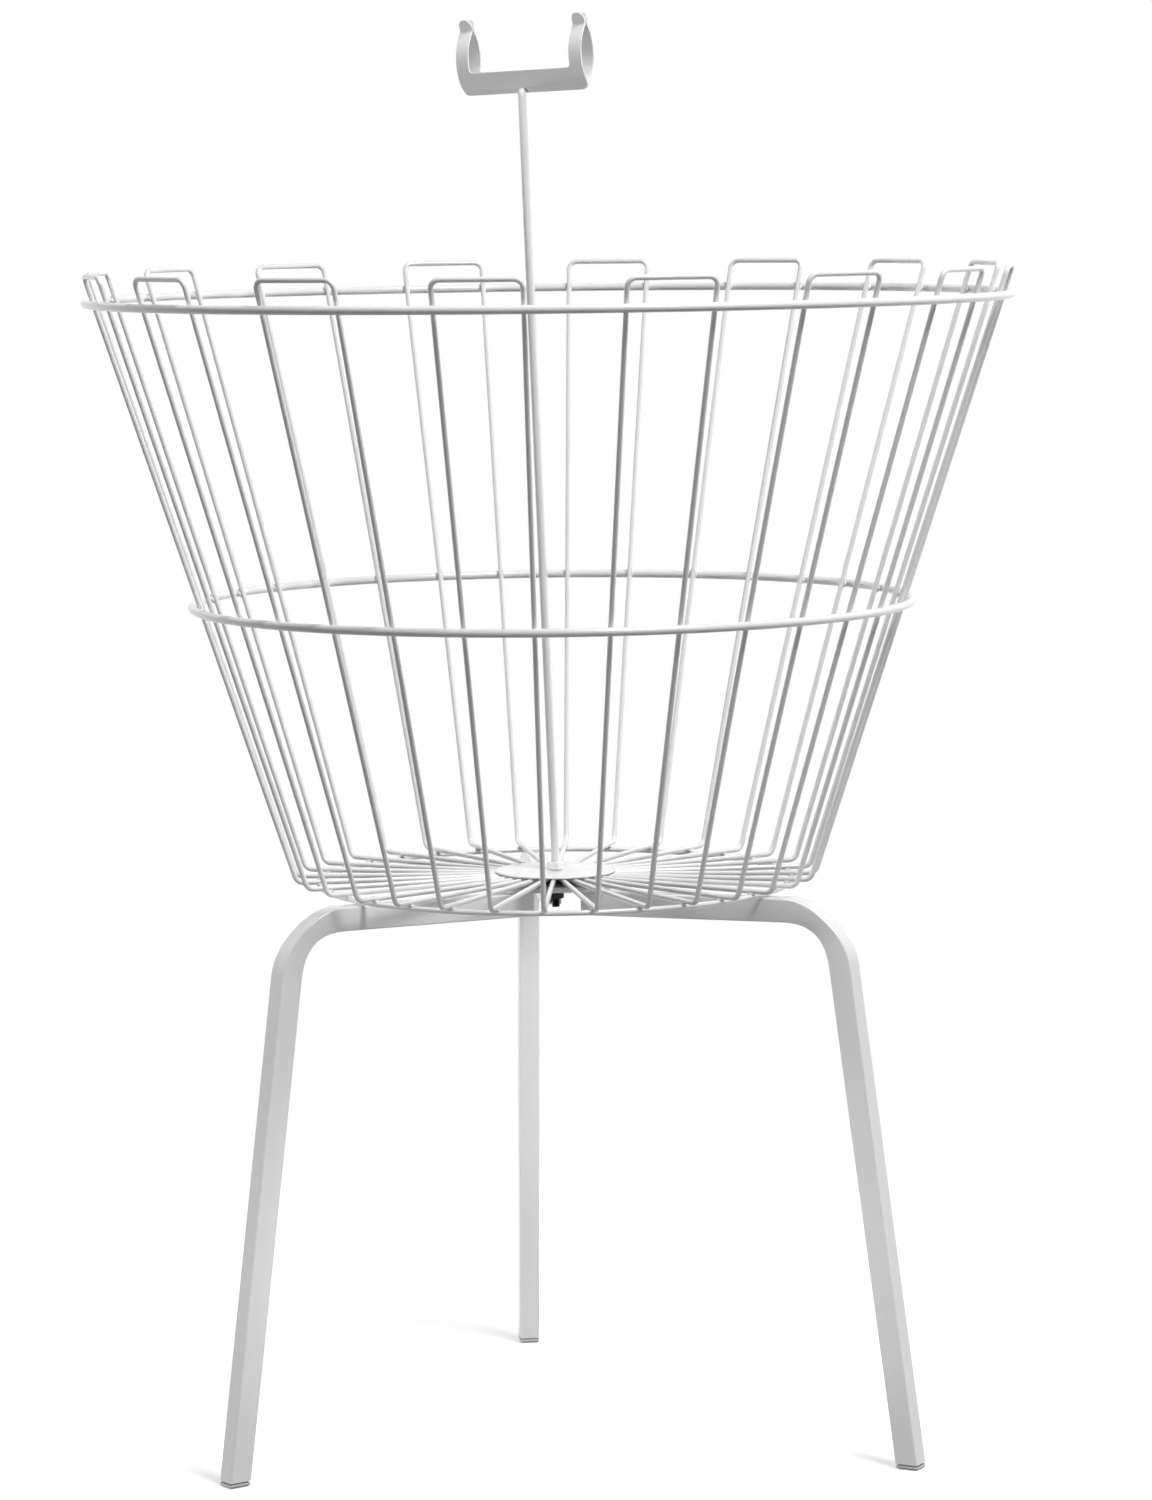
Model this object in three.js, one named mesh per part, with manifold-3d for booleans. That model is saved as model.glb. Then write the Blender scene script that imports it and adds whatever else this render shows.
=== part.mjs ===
// Revolving wire dump bin: a cone of hairpin wires on a tripod, with a sprung sign clip on a post.
// Millimetres, +Z up. The origin is on the floor under the turning axis; +X runs along the sign clip.
import * as THREE from 'three';
import { mergeVertices } from 'three/addons/utils/BufferGeometryUtils.js';
import Module from 'manifold-3d';

const wasm = await Module();
wasm.setup();

// Basket
const hairpinCount = 16;
const firstHairpinAzimuth = 9.33;
const wireDiameter = 4;
const ringWireDiameter = 6.4;
const floorRingWireDiameter = 4;
const floorHeight = 432.5;
const floorRadius = 199;
const rimHeight = 873.5;
const rimRadius = 344;
const midRingHeight = 642.5;
const hairpinTopHeight = 894.5;
const hairpinWidth = 64;
const floorBendRadius = 7;
const topBendRadius = 6.5;
const floorRingInset = 18;
const wireEndSpacing = 1.1;
const discDiameter = 92;
const discThickness = 1.5;
const discEdgeRound = 0.5;

// Turning joint and hub
const bearingDiameter = 34;
const spigotDiameter = 12;
const plateThickness = 4.5;
const plateLobeOffset = 38;
const plateLobeRadius = 11;
const ringRunningGap = 0.9;
const nutAcrossFlats = 11;
const lockNutHeight = 5.6;
const retainingNutHeight = 7.8;

// Tripod: right, back and left leg; the back arm stops short to leave room for a spanner on the nut
const legNames = ['right', 'back', 'left'];
const legAzimuths = [11.1, 135.2, 255.1];
const armStartRadii = [26, 40, 26];
const legDepth = 18;
const legWidth = 16;
const legWall = 1.5;
const legCornerRound = 1.3;
const armRise = 1.5;
const legCornerRadius = 239;
const legBendRadius = 47;
const footRadius = 298;
const capThickness = 4;
const capPlugLength = 16;

// Sign post
const postDiameter = 6.4;
const postHeight = 1031.5;
const postThreadBelowNut = 6.6;
const postBendAboveNut = 9;
const postBendRadius = 150;
const postLean = 1.8;
const postLeanAzimuth = 220;
const postClipOverlap = 3.7;

// Sign clip
const leafThickness = 1;
const leafWidth = 123.6;
const leafHeight = 57;
const leafSeamHeight = 4;
const leafBow = 12.6;
const leafBowRadius = 40;
const leafPinchHeight = 49;
const leafLipFlare = 3;
const leafPinchRadius = 4;
const leafSeamRadius = 3;
const barHeight = 17;
const armWidth = 12.2;
const leafLowerRound = 7;
const leafLipRound = 5.2;
const leafNotchRound = 3;

// Gap left between two pieces that touch or turn on each other
const fitGap = 0.3;

// Facets
const wireSides = 8;
const postSides = 12;
const nutSides = 6;
const tubeCornerSteps = 2;
const leafCornerSteps = 4;
const lobeSteps = 6;
const bendSteps = 4;
const roundSteps = 24;
const discSteps = 36;
const ringSteps = 72;

// Heights of the hub, worked down and up from the floor wires
const wireRadius = wireDiameter / 2;
const ringWireRadius = ringWireDiameter / 2;
const floorRingWireRadius = floorRingWireDiameter / 2;
const discUnderside = floorHeight + wireRadius + fitGap;
const discTop = discUnderside + discThickness;
const lockNutUnderside = discTop + fitGap;
const lockNutTop = lockNutUnderside + lockNutHeight;
const floorRingHeight = floorHeight - wireRadius - fitGap - floorRingWireRadius;
const floorRingRadius = floorRadius - floorRingInset;
const armTopUnderRing = floorRingHeight - floorRingWireRadius - ringRunningGap;
const plateReach = plateLobeOffset + plateLobeRadius;
const plateUnderside = armTop(plateReach) + fitGap;
const plateTop = plateUnderside + plateThickness;
const bearingUnderside = plateTop + fitGap;
const bearingTop = discUnderside - fitGap;
const retainingNutTop = plateUnderside - fitGap;
const retainingNutUnderside = retainingNutTop - retainingNutHeight;
const postBottom = retainingNutUnderside - postThreadBelowNut;
const postBoreRadius = postDiameter / 2 + fitGap;

const powderCoat = { color: 0xf1f1ee, roughness: 0.35, metalness: 0 };
const blackPlastic = { color: 0x141414, roughness: 0.5, metalness: 0 };
const blackSteel = { color: 0x1d1d1f, roughness: 0.4, metalness: 0.9 };
const palePlastic = { color: 0xe4e4e0, roughness: 0.55, metalness: 0 };

const up = new THREE.Vector3(0, 0, 1);

// A path of straight runs joined by round bends, with stations only where it starts, bends and ends
class FormedPath extends THREE.Curve {
  constructor(corners, radii, steps) {
    super();
    this.stations = [corners[0]];
    this.directions = [direction(corners[0], corners[1])];
    for (let i = 1; i < corners.length - 1; i++) {
      this.addBend(corners[i - 1], corners[i], corners[i + 1], radii[i - 1], steps);
    }
    this.stations.push(corners.at(-1));
    this.directions.push(direction(corners.at(-2), corners.at(-1)));
  }

  addBend(before, corner, after, radius, steps) {
    const incoming = direction(before, corner);
    const outgoing = direction(corner, after);
    const turn = incoming.angleTo(outgoing);
    const inward = outgoing.clone().addScaledVector(incoming, -Math.cos(turn)).normalize();
    const start = corner.clone().addScaledVector(incoming, -radius * Math.tan(turn / 2));
    for (let step = 0; step <= steps; step++) {
      const angle = (turn * step) / steps;
      const station = start.clone();
      station.addScaledVector(incoming, radius * Math.sin(angle));
      station.addScaledVector(inward, radius * (1 - Math.cos(angle)));
      this.stations.push(station);
      const heading = incoming.clone().multiplyScalar(Math.cos(angle));
      this.directions.push(heading.addScaledVector(inward, Math.sin(angle)));
    }
  }

  get steps() {
    return this.stations.length - 1;
  }

  getUtoTmapping(u) {
    return u;
  }

  getPoint(t, target = new THREE.Vector3()) {
    return target.copy(this.stations[Math.round(t * this.steps)]);
  }

  getTangent(t, target = new THREE.Vector3()) {
    return target.copy(this.directions[Math.round(t * this.steps)]);
  }
}

function radians(degrees) {
  return THREE.MathUtils.degToRad(degrees);
}

function direction(from, to) {
  return to.clone().sub(from).normalize();
}

function point(x, y, z) {
  return new THREE.Vector3(x, y, z);
}

function polar(radius, azimuth, height) {
  return point(radius * Math.cos(azimuth), radius * Math.sin(azimuth), height);
}

// Height of the arms' upper face, which passes under the floor ring with its running gap
function armTop(radius) {
  return armTopUnderRing + (radius - floorRingRadius) * Math.tan(radians(armRise));
}

// Section shapes, each centred on its path
function circle(radius, sides) {
  const corners = [];
  for (let side = 0; side < sides; side++) {
    const angle = (2 * Math.PI * (side + 0.5)) / sides;
    corners.push(new THREE.Vector2(radius * Math.cos(angle), radius * Math.sin(angle)));
  }
  return new THREE.Shape(corners);
}

// A quarter-round corner of an outline; a notch's inner corner runs clockwise
function roundCorner(shape, x, y, round, quarter, clockwise = false) {
  const start = (quarter * Math.PI) / 2;
  const turn = clockwise ? -Math.PI / 2 : Math.PI / 2;
  shape.absarc(x, y, round, start, start + turn, clockwise);
}

function roundedRectangle(width, height, round) {
  const x = width / 2 - round;
  const y = height / 2 - round;
  const shape = new THREE.Shape();
  roundCorner(shape, x, y, round, 0);
  roundCorner(shape, -x, y, round, 1);
  roundCorner(shape, -x, -y, round, 2);
  roundCorner(shape, x, -y, round, 3);
  return shape;
}

// Ways of making a solid form
function sweep(section, path) {
  const options = { extrudePath: path, steps: path.steps, curveSegments: tubeCornerSteps };
  return new THREE.ExtrudeGeometry(section, options);
}

function revolve(outline, steps) {
  const profile = outline.map(([radius, height]) => new THREE.Vector2(radius, height));
  return new THREE.LatheGeometry([...profile, profile[0]], steps).rotateX(Math.PI / 2);
}

function prism(section, bottom, top, curveSegments) {
  const options = { depth: top - bottom, bevelEnabled: false, curveSegments };
  return new THREE.ExtrudeGeometry(section, options).translate(0, 0, bottom);
}

function block(low, high) {
  const size = high.clone().sub(low);
  const centre = low.clone().add(high).divideScalar(2);
  return new THREE.BoxGeometry(size.x, size.y, size.z).translate(centre.x, centre.y, centre.z);
}

function solid(geometry) {
  geometry.deleteAttribute('normal');
  geometry.deleteAttribute('uv');
  const merged = mergeVertices(geometry);
  const vertProperties = new Float32Array(merged.attributes.position.array);
  const triVerts = new Uint32Array(merged.index.array);
  return new wasm.Manifold(new wasm.Mesh({ numProp: 3, vertProperties, triVerts }));
}

function surface(body) {
  const { vertProperties, triVerts } = body.getMesh();
  const geometry = new THREE.BufferGeometry();
  geometry.setAttribute('position', new THREE.BufferAttribute(vertProperties, 3));
  geometry.setIndex(new THREE.BufferAttribute(triVerts, 1));
  geometry.computeVertexNormals();
  return geometry;
}

const bin = new THREE.Group();

function place(name, geometry, finish, parent = bin) {
  const mesh = new THREE.Mesh(geometry, new THREE.MeshStandardMaterial(finish));
  mesh.name = name;
  parent.add(mesh);
  return mesh;
}

// Basket wires: the wall rises in a straight line from the floor corner through the rim ring
const wireAngle = Math.PI / (2 * hairpinCount);
const rimAngle = Math.asin(hairpinWidth / 2 / rimRadius);
const wallSlope = Math.atan2(rimRadius - floorRadius, rimHeight - floorHeight);
const wireEndPitch = wireDiameter + wireEndSpacing;
const wireEndRadius = (wireEndPitch * hairpinCount) / Math.PI;

function hairpinPath() {
  const floorEnd = polar(wireEndRadius, wireAngle, floorHeight);
  const floorCorner = polar(floorRadius, wireAngle, floorHeight);
  const rimPoint = polar(rimRadius, rimAngle, rimHeight);
  const climb = (hairpinTopHeight - floorHeight) / (rimHeight - floorHeight);
  const topCorner = floorCorner.clone().lerp(rimPoint, climb);
  const nearSide = [floorEnd, floorCorner, topCorner];
  const farSide = nearSide.map(({ x, y, z }) => point(x, -y, z)).reverse();
  const radii = [floorBendRadius, topBendRadius, topBendRadius, floorBendRadius];
  return new FormedPath([...nearSide, ...farSide], radii, bendSteps);
}

for (let i = 0; i < hairpinCount; i++) {
  const number = String(i + 1).padStart(2, '0');
  const wire = sweep(circle(wireRadius, wireSides), hairpinPath());
  const hairpin = place(`hairpin_wire_${number}`, wire, powderCoat);
  hairpin.rotation.z = radians(firstHairpinAzimuth + (360 / hairpinCount) * i);
}

// Rings: the rim and mid rings lie against the outside of the wall, the floor ring under the floor
const ringStandoff = (wireRadius + fitGap + ringWireRadius) / Math.cos(wallSlope);

function wallRingRadius(height) {
  return floorRadius + (height - floorHeight) * Math.tan(wallSlope) + ringStandoff;
}

// A ring's facets are drawn round its true circle, so that their middles keep the gap to the wires
function ring(name, radius, height, sectionRadius) {
  const facetRadius = radius / Math.cos(Math.PI / ringSteps);
  const geometry = new THREE.TorusGeometry(facetRadius, sectionRadius, wireSides, ringSteps);
  place(name, geometry, powderCoat).position.z = height;
}

ring('rim_ring', wallRingRadius(rimHeight), rimHeight, ringWireRadius);
ring('mid_ring', wallRingRadius(midRingHeight), midRingHeight, ringWireRadius);
ring('floor_ring', floorRingRadius, floorRingHeight, floorRingWireRadius);

// Centre disc, welded on the floor wires, with the post through it
const discRadius = discDiameter / 2;
const discOutline = [
  [postBoreRadius, discUnderside],
  [discRadius - discEdgeRound, discUnderside],
  [discRadius, discUnderside + discEdgeRound],
  [discRadius, discTop - discEdgeRound],
  [discRadius - discEdgeRound, discTop],
  [postBoreRadius, discTop],
];
place('centre_disc', revolve(discOutline, discSteps), powderCoat);

// Bearing: a flange under the disc and a spigot through the hub plate, bored for the post
const bearingRadius = bearingDiameter / 2;
const spigotRadius = spigotDiameter / 2;
const bearingOutline = [
  [postBoreRadius, plateUnderside],
  [spigotRadius, plateUnderside],
  [spigotRadius, bearingUnderside],
  [bearingRadius, bearingUnderside],
  [bearingRadius, bearingTop],
  [postBoreRadius, bearingTop],
];
place('turning_bearing', revolve(bearingOutline, roundSteps), blackPlastic);

// Hub plate: three round lobes, one over each arm, joined by straight edges
function hubPlateShape() {
  const lobes = legAzimuths.map((azimuth) => polar(plateLobeOffset, radians(azimuth), 0));
  const edgeAngles = lobes.map((lobe, i) => {
    const next = lobes[(i + 1) % lobes.length];
    return Math.atan2(lobe.x - next.x, next.y - lobe.y);
  });
  const shape = new THREE.Shape();
  lobes.forEach((lobe, i) => {
    const start = edgeAngles.at(i - 1);
    shape.absarc(lobe.x, lobe.y, plateLobeRadius, start, edgeAngles[i]);
  });
  shape.holes.push(circle(spigotRadius + fitGap, roundSteps));
  return shape;
}

place('hub_plate', prism(hubPlateShape(), plateUnderside, plateTop, lobeSteps), powderCoat);

// Nuts: a hexagon with its corners turned off to a chamfer, bored for the post
function nut(name, bottom, height, finish) {
  const flatRadius = nutAcrossFlats / 2;
  const cornerRadius = flatRadius / Math.cos(Math.PI / nutSides);
  const chamfer = (cornerRadius - flatRadius) / 2;
  const hexagon = circle(cornerRadius, nutSides);
  hexagon.holes.push(circle(postBoreRadius, postSides));
  const turned = [
    [0, bottom],
    [flatRadius, bottom],
    [cornerRadius, bottom + chamfer],
    [cornerRadius, bottom + height - chamfer],
    [flatRadius, bottom + height],
    [0, bottom + height],
  ];
  const body = solid(prism(hexagon, bottom, bottom + height));
  place(name, surface(body.intersect(solid(revolve(turned, roundSteps)))), finish);
}

nut('lock_nut', lockNutUnderside, lockNutHeight, powderCoat);
nut('retaining_nut', retainingNutUnderside, retainingNutHeight, blackSteel);

// Legs: a rectangular tube that climbs a little from the hub, is bent once and cut level above its cap
const groundAllowance = legDepth;

function armCentre(radius) {
  return armTop(radius) - legDepth / 2 / Math.cos(radians(armRise));
}

function legPath(startRadius) {
  const armStart = point(startRadius, 0, armCentre(startRadius));
  const corner = point(legCornerRadius, 0, armCentre(legCornerRadius));
  const foot = point(footRadius, 0, 0);
  const belowFoot = foot.clone().addScaledVector(direction(corner, foot), groundAllowance);
  return new FormedPath([armStart, corner, belowFoot], [legBendRadius], 2 * bendSteps);
}

function tubeSection(inset) {
  const round = Math.max(legCornerRound - inset, legWall / 2);
  return roundedRectangle(legWidth - 2 * inset, legDepth - 2 * inset, round);
}

function slab(bottom, top) {
  const reach = footRadius + legDepth;
  return solid(block(point(0, -legWidth, bottom), point(reach, legWidth, top)));
}

function legForm(startRadius, inset) {
  return solid(sweep(tubeSection(inset), legPath(startRadius)));
}

const tubeEnd = capThickness + fitGap;
const belowTube = slab(-2 * groundAllowance, tubeEnd);

// The bore starts ahead of the tube, so that it comes out cleanly at the arm's inner end
function legTube(startRadius) {
  const bore = legForm(startRadius - legDepth / 2, legWall);
  return legForm(startRadius, 0).subtract(bore).subtract(belowTube);
}

function footCap(startRadius) {
  const sole = legForm(startRadius, 0).intersect(slab(0, capThickness));
  const plug = legForm(startRadius, legWall + fitGap);
  return sole.add(plug.intersect(slab(capThickness / 2, tubeEnd + capPlugLength)));
}

legNames.forEach((side, i) => {
  const turn = radians(legAzimuths[i]);
  const startRadius = armStartRadii[i];
  place(`leg_${side}`, surface(legTube(startRadius)), powderCoat).rotation.z = turn;
  place(`foot_cap_${side}`, surface(footCap(startRadius)), palePlastic).rotation.z = turn;
});

// Sign post: upright through the hub, then a little out of plumb, up to the front of the clip
const lean = radians(postLean);
const leanDirection = polar(Math.sin(lean), radians(postLeanAzimuth), Math.cos(lean));
const postBend = point(0, 0, lockNutTop + postBendAboveNut);
const postTop = postBend.clone().addScaledVector(leanDirection, postHeight - postBend.z);
const postPath = new FormedPath([point(0, 0, postBottom), postBend, postTop], [postBendRadius], 2);
place('sign_post', sweep(circle(postDiameter / 2, postSides), postPath), powderCoat);

// Sign clip: two leaves seamed along the bottom, bowed apart, pinching at the top and flared at the lips
function leafProfile() {
  const seam = (leafThickness + fitGap) / 2;
  const bowHeight = (leafSeamHeight + leafPinchHeight) / 2;
  const corners = [
    point(0, -seam, 0),
    point(0, -seam, leafSeamHeight),
    point(0, -seam - leafBow, bowHeight),
    point(0, -seam, leafPinchHeight),
    point(0, -seam - leafLipFlare, leafHeight),
  ];
  return new FormedPath(corners, [leafSeamRadius, leafBowRadius, leafPinchRadius], bendSteps);
}

function leafFront() {
  const half = leafWidth / 2;
  const inner = half - armWidth;
  const lipCentre = leafHeight - leafLipRound;
  const notchCentre = barHeight + leafNotchRound;
  const shape = new THREE.Shape();
  roundCorner(shape, half - leafLowerRound, leafLowerRound, leafLowerRound, 3);
  roundCorner(shape, half - leafLipRound, lipCentre, leafLipRound, 0);
  roundCorner(shape, inner + leafLipRound, lipCentre, leafLipRound, 1);
  roundCorner(shape, inner - leafNotchRound, notchCentre, leafNotchRound, 0, true);
  roundCorner(shape, -inner + leafNotchRound, notchCentre, leafNotchRound, 3, true);
  roundCorner(shape, -inner - leafLipRound, lipCentre, leafLipRound, 0);
  roundCorner(shape, -half + leafLipRound, lipCentre, leafLipRound, 1);
  roundCorner(shape, -half + leafLowerRound, leafLowerRound, leafLowerRound, 2);
  const depth = 2 * leafBow;
  return prism(shape, -depth, depth, leafCornerSteps).rotateX(Math.PI / 2);
}

const leafStrip = new THREE.Shape([
  new THREE.Vector2(-leafThickness / 2, -leafWidth),
  new THREE.Vector2(leafThickness / 2, -leafWidth),
  new THREE.Vector2(leafThickness / 2, leafWidth),
  new THREE.Vector2(-leafThickness / 2, leafWidth),
]);
const leaf = solid(sweep(leafStrip, leafProfile())).intersect(solid(leafFront()));

// The clip stands behind the end of the post, which is welded to the front leaf's seam
const clip = new THREE.Group();
clip.position.copy(postTop);
clip.quaternion.setFromUnitVectors(up, leanDirection);
clip.translateZ(-postClipOverlap);
clip.translateY(postDiameter / 2 + fitGap + leafThickness + fitGap / 2);
place('clip_leaf_front', surface(leaf), powderCoat, clip);
place('clip_leaf_rear', surface(leaf), powderCoat, clip).rotation.z = Math.PI;
bin.add(clip);

export default bin;
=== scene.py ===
import bpy
import numpy as np
from mathutils import Matrix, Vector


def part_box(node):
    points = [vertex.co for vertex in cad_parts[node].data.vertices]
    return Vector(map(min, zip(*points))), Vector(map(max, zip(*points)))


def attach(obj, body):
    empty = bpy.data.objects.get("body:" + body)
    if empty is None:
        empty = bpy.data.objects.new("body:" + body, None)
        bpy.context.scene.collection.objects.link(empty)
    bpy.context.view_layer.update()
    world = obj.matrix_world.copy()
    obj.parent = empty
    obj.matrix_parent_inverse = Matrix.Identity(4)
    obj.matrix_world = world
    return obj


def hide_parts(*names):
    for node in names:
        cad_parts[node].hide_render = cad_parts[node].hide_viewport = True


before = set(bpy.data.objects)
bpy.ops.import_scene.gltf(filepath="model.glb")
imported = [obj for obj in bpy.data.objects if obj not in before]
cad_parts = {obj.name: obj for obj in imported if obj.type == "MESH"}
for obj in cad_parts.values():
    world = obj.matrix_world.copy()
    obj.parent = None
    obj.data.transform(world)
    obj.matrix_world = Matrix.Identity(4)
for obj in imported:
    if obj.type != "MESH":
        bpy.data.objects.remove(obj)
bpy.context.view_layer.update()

# Basket sizes. Here and below, lengths are in metres and angles in radians
HAIRPIN_COUNT = 16
FIRST_HAIRPIN = np.radians(9.33)
WIRE_RADIUS = 0.002
FLOOR_HEIGHT = 0.4325
FLOOR_RADIUS = 0.199
RIM_HEIGHT = 0.8735
RIM_RADIUS = 0.344
HAIRPIN_TOP = 0.8945
HAIRPIN_HALF_WIDTH = 0.032
FLOOR_BEND = 0.007
TOP_BEND = 0.0065
WIRE_END_RADIUS = 0.026
DISC_EDGE_ROUND = 0.0006
BUTT_WELD_AZIMUTH = np.radians(144)
BUTT_WELD_SWELL = 0.06

# Tripod sizes
LEG_AZIMUTHS = {"right": np.radians(11.1), "back": np.radians(135.2), "left": np.radians(255.1)}
LEG_DEPTH = 0.018
LEG_WIDTH = 0.016
LEG_WALL = 0.0015
LEG_CORNER_ROUND = 0.0013
ARM_START_RADII = {"right": 0.026, "back": 0.040, "left": 0.026}
ARM_RISE = np.radians(1.5)
LEG_CORNER_RADIUS = 0.239
LEG_BEND = 0.047
FOOT_RADIUS = 0.298
BEND_SINK = 0.0014
BEND_FLATTENING = 0.22
CAP_HEIGHT = 0.004
CAP_NECK_HEIGHT = 0.0031
CAP_PLUG = 0.016
PLATE_LOBE_OFFSET = 0.038
PLATE_LOBE_RADIUS = 0.011
PLATE_EDGE_ROUND = 0.0008
SPIGOT_RADIUS = 0.006
BEARING_EDGE_ROUND = 0.0006

# Hub and post sizes
NUT_FLATS = 0.011
NUT_FACE_SHARE = 0.96
NUT_CHAMFER_SLOPE = 0.5
NUT_MOUTH = 0.0004
POST_RADIUS = 0.0032
POST_BEND_HEIGHT = 0.4512
POST_BEND = 0.15
POST_LENGTH = 0.5803
POST_LEAN = np.radians(1.8)
POST_LEAN_AZIMUTH = np.radians(220)
POST_TIP = 0.0055
POST_TIP_TURN = np.radians(82.8)
POST_CLIP_OVERLAP = 0.0037
THREAD_PITCH = 0.00127
THREAD_DEPTH = 0.0007
THREAD_CREST_FLAT = 0.12
THREAD_LEAD = 0.0005
THREAD_LEAD_DEPTH = 0.0003

# Sign clip sizes
LEAF_THICKNESS = 0.001
LEAF_HALF_WIDTH = 0.0618
LEAF_HEIGHT = 0.05698
LEAF_SEAM_HEIGHT = 0.004
LEAF_BOW = 0.0126
LEAF_BOW_RADIUS = 0.040
LEAF_PINCH_HEIGHT = 0.049
LEAF_LIP_FLARE = 0.003
LEAF_PINCH_RADIUS = 0.004
LEAF_SEAM_RADIUS = 0.003
LEAF_BAR_HEIGHT = 0.017
LEAF_ARM_WIDTH = 0.0122
LEAF_LOWER_ROUND = 0.007
LEAF_LIP_ROUND = 0.0052
LEAF_NOTCH_ROUND = 0.003
LEAF_EDGE_ROUND = 0.0004

# Weld sizes; a nugget's three are its reach along, across and out of the joint
WALL_NUGGET = (0.0030, 0.0026, 0.0014)
FLOOR_NUGGET = (0.0029, 0.0026, 0.0013)
CLIP_NUGGET = (0.0017, 0.0012, 0.0009)
CLIP_NUGGET_PLACE = (0.0019, -0.0017, 0.0012)
BEAD_RADIUS = 0.0013
BEAD_SINK = 0.0012
BEAD_START_GAP = 0.001
BEAD_END_GAP = 0.003

# Weld shapes
NUGGET_POLE = 0.25  # angle cut off at each pole
BEAD_RIPPLE = 0.12  # share of the bead's radius
BEAD_RIPPLE_TURN = 1.15  # angle of the ripple's wave at each step
BEAD_TIP = 0.15  # share of the bead's area
BEAD_TAPER_STEPS = 5

# Mesh steps
CAD_RING_STEPS = 72
RING_STEPS = 288
WIRE_SIDES = 16
WIRE_BEND_STEPS = 14
CORNER_STEPS = 8
LEG_BEND_STEPS = 40
BEAD_STEPS = 60

FIT_GAP = 0.0003
UP = np.array([0.0, 0.0, 1.0])


# Shapes worked out as arrays
def unit(vectors):
    """Each vector divided by its length."""
    return vectors / np.linalg.norm(vectors, axis=-1, keepdims=True)


def polar(radius, azimuth, height):
    """A point at a radius and azimuth from the turning axis, at a height."""
    parts = np.broadcast_arrays(radius * np.cos(azimuth), radius * np.sin(azimuth), height)
    return np.stack(parts, -1)


def turned(points, azimuth):
    """Points turned about the turning axis."""
    c, s = np.cos(azimuth), np.sin(azimuth)
    return points @ np.array([[c, s, 0], [-s, c, 0], [0, 0, 1]])


def formed_path(corners, radii, steps):
    """Straight runs between corners, with each inner corner rounded by an arc that touches both runs.

    An arc starts radius * tan(turn / 2) before its corner, and its point at an angle is
    start + incoming * radius * sin(angle) + inward * radius * (1 - cos(angle)).
    Gives the points and their unit tangents.
    """
    corners = np.asarray(corners, float)
    runs = unit(np.diff(corners, axis=0))
    points, tangents = [corners[:1]], [runs[:1]]
    for incoming, outgoing, corner, radius in zip(runs[:-1], runs[1:], corners[1:-1], radii):
        turn = np.arccos(np.clip(incoming @ outgoing, -1, 1))
        inward = unit(outgoing - incoming * np.cos(turn))
        angle = np.linspace(0, turn, steps + 1)[:, None]
        start = corner - incoming * radius * np.tan(turn / 2)
        points.append(start + radius * (incoming * np.sin(angle) + inward * (1 - np.cos(angle))))
        tangents.append(incoming * np.cos(angle) + inward * np.sin(angle))
    points.append(corners[-1:])
    tangents.append(runs[-1:])
    return np.concatenate(points), np.concatenate(tangents)


def carried(profile, path, across, upward):
    """A flat profile carried along a path: path + across * profile x + upward * profile y."""
    sideways = across[:, None, :] * profile[..., 0, None]
    return path[:, None, :] + sideways + upward[:, None, :] * profile[..., 1, None]


def circle(radius, sides):
    """Points round a circle in the profile plane."""
    angle = np.linspace(0, 2 * np.pi, sides, endpoint=False)
    return radius * np.stack([np.cos(angle), np.sin(angle)], -1)


def rounded_rectangle(width, height, radius, steps=6):
    """Four quarter circles, each at its corner's centre; the straight sides lie between them."""
    angle = np.linspace(0, np.pi / 2, steps)
    quarter = np.arange(4)[:, None]
    centre_x = np.array([1, -1, -1, 1])[:, None] * (width / 2 - radius)
    centre_y = np.array([1, 1, -1, -1])[:, None] * (height / 2 - radius)
    x = centre_x + radius * np.cos(angle + quarter * np.pi / 2)
    y = centre_y + radius * np.sin(angle + quarter * np.pi / 2)
    return np.stack([x.ravel(), y.ravel()], -1)


def revolved(outline, steps):
    """A closed outline of radius and height carried round the turning axis."""
    outline = np.asarray(outline, float)
    angle = np.linspace(0, 2 * np.pi, steps, endpoint=False)[:, None]
    return polar(outline[:, 0], angle, outline[:, 1])


def softened(outline, radius, steps=4):
    """A closed outline with every corner rounded by an arc of one radius."""
    outline = np.asarray(outline, float)
    before = unit(np.roll(outline, 1, 0) - outline)
    after = unit(np.roll(outline, -1, 0) - outline)
    half = np.arccos(np.clip((before * after).sum(-1), -1, 1)) / 2
    centre = outline + unit(before + after) * (radius / np.sin(half))[:, None]
    first = outline + before * (radius / np.tan(half))[:, None] - centre
    last = outline + after * (radius / np.tan(half))[:, None] - centre
    share = np.linspace(0, 1, steps)[None, :, None]
    spokes = unit(first[:, None] * (1 - share) + last[:, None] * share) * radius
    return (centre[:, None] + spokes).reshape(-1, 2)


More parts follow.
